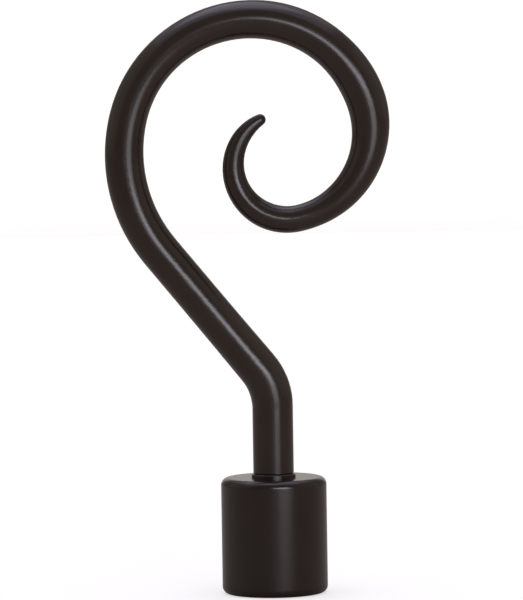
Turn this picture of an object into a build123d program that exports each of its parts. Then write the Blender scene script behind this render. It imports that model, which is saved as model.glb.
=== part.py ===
# Curtain finial: a round steel bar forged into a tapering scroll, screwed to a turned
# collar that slips over the end of a curtain pole.
# Millimetres. The origin is the centre of the collar's mouth, +Z runs up the collar's axis
# towards the scroll, and the scroll lies flat in the XZ plane with its big loop towards -X.
import os
from math import cos, radians, tan

from build123d import *

os.makedirs("parts", exist_ok=True)

# The pole, and the collar turned to slip over it
POLE_D = 19.0
POLE_GAP = 0.2            # room round the pole, on the radius
COLLAR_D = 26.0
COLLAR_H = 28.7
COLLAR_EDGE = 1.8         # rounding of the collar's two outer edges
END_WALL = 5.2            # between the bore's floor and the collar's end face
MOUTH_CHAMFER = 0.4

# The low boss on the collar's end face that the bar stands on
BOSS_D = 10.9
BOSS_H = 0.9
BOSS_EDGE = 0.35

# The bar and its middle line, from the foot up
BAR_D = 10.0
FOOT_CHAMFER = 0.25
STEM = 16.5               # straight, on the collar's axis
BEND_R = 15.3             # the bend that leans the bar towards -X
BEND_TURN = 39.1
LIMB = 37.45              # straight again, up to the scroll
SCROLL_R = 37.78          # the scroll's first and widest arc
SCROLL = [                # the scroll's arcs: (share of SCROLL_R, turn in degrees)
    (1.0, 54.0), (0.826, 81.7), (0.778, 62.9), (0.596, 99.2), (0.348, 163.0),
]

# The bar's diameter above the stem: (share of the way to the tip, share of BAR_D).
# It is thinned a little over the big loop, left full on the far side, and drawn out inside.
FORGED = [
    (0.00, 1.000), (0.03, 1.018), (0.08, 1.000), (0.27, 0.974), (0.41, 0.914), (0.49, 0.932),
    (0.57, 0.963), (0.63, 0.979), (0.665, 1.002), (0.69, 0.978), (0.73, 0.886), (0.79, 0.740),
    (0.83, 0.665), (0.87, 0.663), (0.91, 0.603), (0.95, 0.510), (0.98, 0.402), (1.00, 0.280),
]
TIP_TAPER = 9.0           # half angle of the taper where the domed tip takes over

# The countersunk screw that ties the bar to the collar, driven from inside the bore
SCREW_D = 5.0
SCREW_L = 16.0
SCREW_HEAD_D = 9.4
SCREW_HEAD_LAND = 0.3
SCREW_KEY = 3.0           # hexagon socket, across flats
SCREW_KEY_DEPTH = 1.9
SCREW_SINK = 0.2          # the head stops this far short of the bore's floor
SCREW_ROOM = 0.25         # clearance hole, on the radius
TAPPED_SPARE = 2.5        # depth of the tapped hole beyond the screw
DRILL_POINT = 118.0       # angle of the drilled hole's end

# The grub screw that grips the pole, in the back of the collar
GRUB_D = 4.0
GRUB_L = 3.0
GRUB_KEY = 2.0
GRUB_KEY_DEPTH = 1.5
GRUB_CHAMFER = 0.3
GRUB_Z = 9.0
GRUB_SINK = 0.1           # its point stops this far short of the bore

THREAD_GAP = 0.04         # room between a screw's crest and its tapped hole, on the radius

COLLAR_R = COLLAR_D / 2
BORE_R = POLE_D / 2 + POLE_GAP
BORE_DEPTH = COLLAR_H - END_WALL
BOSS_TOP = COLLAR_H + BOSS_H
UP = (Align.CENTER, Align.CENTER, Align.MIN)


def crook():
    """The bar: a straight stem, then round sections swept along tangent arcs, then a domed tip."""
    line = [JernArc((0, BOSS_TOP + STEM), (0, 1), BEND_R, BEND_TURN)]
    line.append(Line(line[-1] @ 1, line[-1] @ 1 + LIMB * (line[-1] % 1)))
    for share, turn in SCROLL:
        line.append(JernArc(line[-1] @ 1, line[-1] % 1, SCROLL_R * share, -turn))
    path = Plane.XZ * Wire(line)

    sections = []
    for way, share in FORGED:
        across = Plane(origin=path @ way, x_dir=(0, 1, 0), z_dir=path % way)
        sections.append(across * Circle(BAR_D / 2 * share))
    bar = sweep(sections, path=path, multisection=True)
    tip_r = BAR_D / 2 * share / cos(radians(TIP_TAPER))
    bar += across * Sphere(tip_r, arc_size1=TIP_TAPER, arc_size2=90, align=UP)

    stem = Pos(0, 0, BOSS_TOP) * Cylinder(BAR_D / 2, STEM, align=UP)
    bar += chamfer(stem.edges().group_by(Axis.Z)[0], FOOT_CHAMFER)
    depth = BORE_DEPTH + SCREW_SINK + SCREW_L + TAPPED_SPARE - BOSS_TOP
    tapped_r = SCREW_D / 2 + THREAD_GAP
    drill = Cylinder(tapped_r, depth, align=UP)
    point = Cone(tapped_r, 0, tapped_r / tan(radians(DRILL_POINT / 2)), align=UP)
    return bar - Pos(0, 0, BOSS_TOP) * (drill + Pos(0, 0, depth) * point)


def countersunk(room):
    """A countersunk screw's outline from its head's flat up, or its hole with room round it."""
    rim = SCREW_HEAD_D / 2
    shank = SCREW_D / 2
    land = Cylinder(rim + room, SCREW_HEAD_LAND, align=UP)
    seat = Pos(0, 0, SCREW_HEAD_LAND) * Cone(rim, shank, rim - shank, align=UP)
    return land + seat + Cylinder(shank + room, SCREW_L, align=UP)


def collar():
    """The turned collar: blind bore, domed-over edges, low boss, two screw holes."""
    body = Cylinder(COLLAR_R, COLLAR_H, align=UP)
    body = fillet(body.edges().filter_by(GeomType.CIRCLE), COLLAR_EDGE)
    boss = Pos(0, 0, COLLAR_H) * Cylinder(BOSS_D / 2, BOSS_H, align=UP)
    boss = fillet(boss.edges().group_by(Axis.Z)[-1], BOSS_EDGE)
    bore = Cylinder(BORE_R, BORE_DEPTH, align=UP)
    mouth = Cone(BORE_R + MOUTH_CHAMFER, BORE_R, MOUTH_CHAMFER, align=UP)
    head = Cylinder(SCREW_HEAD_D / 2 + SCREW_ROOM, SCREW_SINK, align=UP)
    passage = Pos(0, 0, BORE_DEPTH) * (head + Pos(0, 0, SCREW_SINK) * countersunk(SCREW_ROOM))
    tapped = Pos(0, 0, GRUB_Z) * Rot(-90, 0, 0) * Cylinder(GRUB_D / 2 + THREAD_GAP, COLLAR_D, align=UP)
    return body + boss - bore - mouth - passage - tapped


def socket(key, depth):
    """A hexagon socket, open at z = 0."""
    return extrude(RegularPolygon(key / 2, 6, major_radius=False), depth)


def stem_screw():
    """The countersunk screw, pointing up into the bar."""
    screw = countersunk(0) - socket(SCREW_KEY, SCREW_KEY_DEPTH)
    end = screw.edges().group_by(Axis.Z)[-1]
    return Pos(0, 0, BORE_DEPTH + SCREW_SINK) * chamfer(end, SCREW_D / 10)


def grub_screw():
    """The grub screw, lying along +Y with its socket outwards."""
    grub = Cylinder(GRUB_D / 2, GRUB_L, align=UP)
    grub = chamfer(grub.edges().filter_by(GeomType.CIRCLE), GRUB_CHAMFER)
    grub -= Pos(0, 0, GRUB_L - GRUB_KEY_DEPTH) * socket(GRUB_KEY, GRUB_KEY_DEPTH)
    return Pos(0, BORE_R + GRUB_SINK, GRUB_Z) * Rot(-90, 0, 0) * grub


pieces = {
    "crook": crook(), "collar": collar(), "stem_screw": stem_screw(), "grub_screw": grub_screw(),
}
for name, shape in pieces.items():
    export_step(shape, f"parts/{name}.step")
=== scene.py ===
import math

import bmesh
import bpy
from mathutils import Matrix, Vector

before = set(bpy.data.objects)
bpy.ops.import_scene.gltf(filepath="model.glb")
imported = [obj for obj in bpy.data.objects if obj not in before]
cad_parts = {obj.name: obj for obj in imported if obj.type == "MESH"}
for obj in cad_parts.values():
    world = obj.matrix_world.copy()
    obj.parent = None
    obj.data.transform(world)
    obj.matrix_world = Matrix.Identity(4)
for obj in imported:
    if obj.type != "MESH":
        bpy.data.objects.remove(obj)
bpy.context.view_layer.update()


# The crook: a round steel bar, bent and drawn out hot, then sprayed with a satin near-black
# bronze paint. The sprayed coat has a fine orange peel and a slightly uneven gloss, and no wear.
def sprayed_paint(name, dark, light):
    paint = bpy.data.materials.new(name)
    paint.use_nodes = True
    tree = paint.node_tree
    shader = tree.nodes["Principled BSDF"]

    place = tree.nodes.new("ShaderNodeTexCoord")
    cloud = tree.nodes.new("ShaderNodeTexNoise")
    cloud.inputs["Scale"].default_value = 90.0
    cloud.inputs["Detail"].default_value = 4.0
    tree.links.new(place.outputs["Object"], cloud.inputs["Vector"])

    tone = tree.nodes.new("ShaderNodeValToRGB")
    tone.color_ramp.elements[0].position = 0.35
    tone.color_ramp.elements[0].color = dark
    tone.color_ramp.elements[1].position = 0.65
    tone.color_ramp.elements[1].color = light
    tree.links.new(cloud.outputs["Fac"], tone.inputs["Fac"])
    tree.links.new(tone.outputs["Color"], shader.inputs["Base Color"])

    gloss = tree.nodes.new("ShaderNodeMapRange")
    gloss.inputs["To Min"].default_value = 0.19
    gloss.inputs["To Max"].default_value = 0.24
    tree.links.new(cloud.outputs["Fac"], gloss.inputs["Value"])
    tree.links.new(gloss.outputs["Result"], shader.inputs["Roughness"])

    peel = tree.nodes.new("ShaderNodeTexNoise")
    peel.inputs["Scale"].default_value = 1500.0
    peel.inputs["Detail"].default_value = 2.0
    tree.links.new(place.outputs["Object"], peel.inputs["Vector"])
    skin = tree.nodes.new("ShaderNodeBump")
    skin.inputs["Strength"].default_value = 0.25
    skin.inputs["Distance"].default_value = 0.00005
    tree.links.new(peel.outputs["Fac"], skin.inputs["Height"])
    tree.links.new(skin.outputs["Normal"], shader.inputs["Normal"])
    return paint


bar_dark = (0.0152, 0.0084, 0.0060, 1.0)
bar_light = (0.0184, 0.0107, 0.0078, 1.0)
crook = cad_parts["crook"]
crook.data.materials.clear()
crook.data.materials.append(sprayed_paint("painted_bar", bar_dark, bar_light))


# The collar: turned from steel bar, bored out for the pole and sprayed with the same paint, whose
# colour is set a little darker here than on the bar.
collar_dark = (0.0088, 0.0034, 0.0018, 1.0)
collar_light = (0.0108, 0.0047, 0.0030, 1.0)
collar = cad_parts["collar"]
collar.data.materials.clear()
collar.data.materials.append(sprayed_paint("painted_collar", collar_dark, collar_light))


# The countersunk screw: steel with a bright zinc plating, driven up from the bore's floor into
# the bar's foot. Only its head and socket show, from underneath.
def finished_steel(name, grain, dark, light, gloss_low, gloss_high):
    steel = bpy.data.materials.new(name)
    steel.use_nodes = True
    tree = steel.node_tree
    shader = tree.nodes["Principled BSDF"]
    shader.inputs["Metallic"].default_value = 1.0

    place = tree.nodes.new("ShaderNodeTexCoord")
    bloom = tree.nodes.new("ShaderNodeTexNoise")
    bloom.inputs["Scale"].default_value = grain
    bloom.inputs["Detail"].default_value = 3.0
    tree.links.new(place.outputs["Object"], bloom.inputs["Vector"])

    tint = tree.nodes.new("ShaderNodeValToRGB")
    tint.color_ramp.elements[0].position = 0.3
    tint.color_ramp.elements[0].color = dark
    tint.color_ramp.elements[1].position = 0.7
    tint.color_ramp.elements[1].color = light
    tree.links.new(bloom.outputs["Fac"], tint.inputs["Fac"])
    tree.links.new(tint.outputs["Color"], shader.inputs["Base Color"])

    haze = tree.nodes.new("ShaderNodeMapRange")
    haze.inputs["To Min"].default_value = gloss_low
    haze.inputs["To Max"].default_value = gloss_high
    tree.links.new(bloom.outputs["Fac"], haze.inputs["Value"])
    tree.links.new(haze.outputs["Result"], shader.inputs["Roughness"])
    return steel


zinc_dark = (0.50, 0.51, 0.50, 1.0)
zinc_light = (0.66, 0.66, 0.63, 1.0)
stem_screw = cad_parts["stem_screw"]
stem_screw.data.materials.clear()
stem_screw.data.materials.append(
    finished_steel("zinc_plating", 900.0, zinc_dark, zinc_light, 0.26, 0.42))


# The grub screw: hardened steel, oil-blackened, turned in from the back of the collar until it
# grips the pole. Its socket faces out.
oiled_dark = (0.045, 0.045, 0.048, 1.0)
oiled_light = (0.090, 0.088, 0.086, 1.0)
grub_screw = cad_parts["grub_screw"]
grub_screw.data.materials.clear()
grub_screw.data.materials.append(
    finished_steel("blackened_steel", 1400.0, oiled_dark, oiled_light, 0.38, 0.52))


# The floor: a wide sheet of plain paper. Its glow, weaker where the lamps light it, makes it
# white to the camera and leaves the collar's soft shadow. The paint mirrors it as a warm grey
# with a slight sheen.
floor_radius = 30.0
lamplit_radius = 1.15
unlit_radius = 1.75
lamplit_glow = 0.58
unlit_glow = 0.82

floor_mesh = bpy.data.meshes.new("floor")
shape = bmesh.new()
bmesh.ops.create_circle(shape, cap_ends=True, segments=64, radius=floor_radius)
shape.to_mesh(floor_mesh)
shape.free()
floor = bpy.data.objects.new("floor", floor_mesh)
bpy.context.scene.collection.objects.link(floor)

paper = bpy.data.materials.new("white_paper")
paper.use_nodes = True
tree = paper.node_tree
sheet = tree.nodes["Principled BSDF"]
sheet.inputs["Base Color"].default_value = (0.50, 0.50, 0.50, 1.0)
sheet.inputs["Roughness"].default_value = 0.9
sheet.inputs["Specular IOR Level"].default_value = 0.1
glow = tree.nodes.new("ShaderNodeEmission")
glow.inputs["Color"].default_value = (1.0, 1.0, 1.0, 1.0)
spot = tree.nodes.new("ShaderNodeTexCoord")
reach = tree.nodes.new("ShaderNodeVectorMath")
reach.operation = "LENGTH"
tree.links.new(spot.outputs["Object"], reach.inputs[0])
even = tree.nodes.new("ShaderNodeMapRange")
even.inputs["From Min"].default_value = lamplit_radius
even.inputs["From Max"].default_value = unlit_radius
even.inputs["To Min"].default_value = lamplit_glow
even.inputs["To Max"].default_value = unlit_glow
tree.links.new(reach.outputs["Value"], even.inputs["Value"])
tree.links.new(even.outputs["Result"], glow.inputs["Strength"])
lit = tree.nodes.new("ShaderNodeAddShader")
tree.links.new(sheet.outputs["BSDF"], lit.inputs[0])
tree.links.new(glow.outputs["Emission"], lit.inputs[1])
bounce = tree.nodes.new("ShaderNodeBsdfPrincipled")
bounce.inputs["Base Color"].default_value = (0.42, 0.38, 0.33, 1.0)
bounce.inputs["Roughness"].default_value = 0.55
bounce.inputs["Specular IOR Level"].default_value = 0.3
seen = tree.nodes.new("ShaderNodeLightPath")
side = tree.nodes.new("ShaderNodeMixShader")
tree.links.new(seen.outputs["Is Camera Ray"], side.inputs["Fac"])
tree.links.new(bounce.outputs["BSDF"], side.inputs[1])
tree.links.new(lit.outputs["Shader"], side.inputs[2])
tree.links.new(side.outputs["Shader"], tree.nodes["Material Output"].inputs["Surface"])
floor_mesh.materials.append(paper)


# The light: a wide strip box beside the camera, a small dim one near by that stands on the floor,
# a cool wash from above, and large dim cards to the sides and behind.
def soft_box(name, at, aim, width, height, radiance, colour):
    data = bpy.data.lights.new(name, "AREA")
    data.shape = "RECTANGLE"
    data.size = width
    data.size_y = height
    data.energy = radiance * math.pi * width * height
    data.color = colour
    box = bpy.data.objects.new(name, data)
    box.location = at
    box.rotation_euler = (Vector(aim) - Vector(at)).to_track_quat("-Z", "Y").to_euler()
    box.visible_camera = False
    bpy.context.scene.collection.objects.link(box)


sky_blue = (0.80, 0.81, 1.05)
warm_card = (1.0, 0.88, 0.76)
soft_box("key_box", (0.443, -1.648, 0.401), (0, 0, 0.11), 0.93, 0.335, 5.65, (0.94, 0.94, 1.04))
soft_box("low_box", (0.168, -0.357, 0.079), (0, 0, 0.08), 0.188, 0.155, 2.25, (0.95, 0.93, 1.0))
soft_box("sky_box", (-0.12, 0.25, 1.3), (-0.05, 0.2, 0.1), 1.0, 1.1, 1.2, sky_blue)
soft_box("sky_wash", (-0.1, 0.3, 1.35), (-0.05, 0.3, 0.1), 2.0, 2.2, 0.6, sky_blue)
soft_box("left_card", (-1.3, -0.1, 0.6), (0, 0, 0.1), 1.7, 1.1, 0.2, warm_card)
soft_box("right_card", (1.3, -0.1, 0.6), (0, 0, 0.1), 1.7, 1.1, 0.2, warm_card)
soft_box("back_card", (0.0, 1.3, 0.30), (0, 0, 0.1), 1.1, 0.6, 0.45, (1.0, 0.97, 0.92))


# The studio round it: white to camera and transmission rays, and a warm room to the others. The
# room is dimmer to glossy rays, so that the paint stays dark up to its edges.
room_to_matte = 0.45
room_to_gloss = 0.25

world = bpy.data.worlds.new("white_studio")
bpy.context.scene.world = world
world.use_nodes = True
tree = world.node_tree
seen = tree.nodes.new("ShaderNodeLightPath")
room = tree.nodes["Background"]
room.inputs["Color"].default_value = (1.0, 0.91, 0.82, 1.0)
level = tree.nodes.new("ShaderNodeMapRange")
level.inputs["To Min"].default_value = room_to_matte
level.inputs["To Max"].default_value = room_to_gloss
tree.links.new(seen.outputs["Is Glossy Ray"], level.inputs["Value"])
tree.links.new(level.outputs["Result"], room.inputs["Strength"])
white = tree.nodes.new("ShaderNodeBackground")
white.inputs["Color"].default_value = (1.0, 1.0, 1.0, 1.0)
white.inputs["Strength"].default_value = 1.0
direct = tree.nodes.new("ShaderNodeMath")
direct.operation = "MAXIMUM"
tree.links.new(seen.outputs["Is Camera Ray"], direct.inputs[0])
tree.links.new(seen.outputs["Is Transmission Ray"], direct.inputs[1])
pick = tree.nodes.new("ShaderNodeMixShader")
tree.links.new(direct.outputs["Value"], pick.inputs["Fac"])
tree.links.new(room.outputs["Background"], pick.inputs[1])
tree.links.new(white.outputs["Background"], pick.inputs[2])
tree.links.new(pick.outputs["Shader"], tree.nodes["World Output"].inputs["Surface"])
bpy.context.scene.view_settings.view_transform = "Standard"


# The camera: a long lens a few degrees above the finial, turned a touch about its own axis,
# so that the scroll leans as it does in the photograph. The 10 mm bar sets the scale.
camera_distance = 1.590
camera_rise = math.radians(4.35)
camera_turn = math.radians(0.88)
camera_aim = Vector((-0.00233, 0.0, 0.07245))
bar_diameter = 0.0100
bar_pixels = 40.65
photo_height_pixels = 600
frame_height = photo_height_pixels * bar_diameter / bar_pixels

look = Vector((0.0, math.cos(camera_rise), -math.sin(camera_rise)))
right = Vector((1.0, 0.0, 0.0))
up = right.cross(look)
right_turned = math.cos(camera_turn) * right - math.sin(camera_turn) * up
up_turned = math.sin(camera_turn) * right + math.cos(camera_turn) * up

lens = bpy.data.cameras.new("photo_lens")
lens.sensor_fit = "VERTICAL"
lens.sensor_height = 36.0
lens.lens = lens.sensor_height * camera_distance / frame_height
lens.clip_end = 2 * floor_radius
camera = bpy.data.objects.new("photo_camera", lens)
turn = Matrix((right_turned, up_turned, -look)).transposed().to_4x4()
camera.matrix_world = Matrix.Translation(camera_aim - look * camera_distance) @ turn
bpy.context.scene.collection.objects.link(camera)
bpy.context.scene.camera = camera
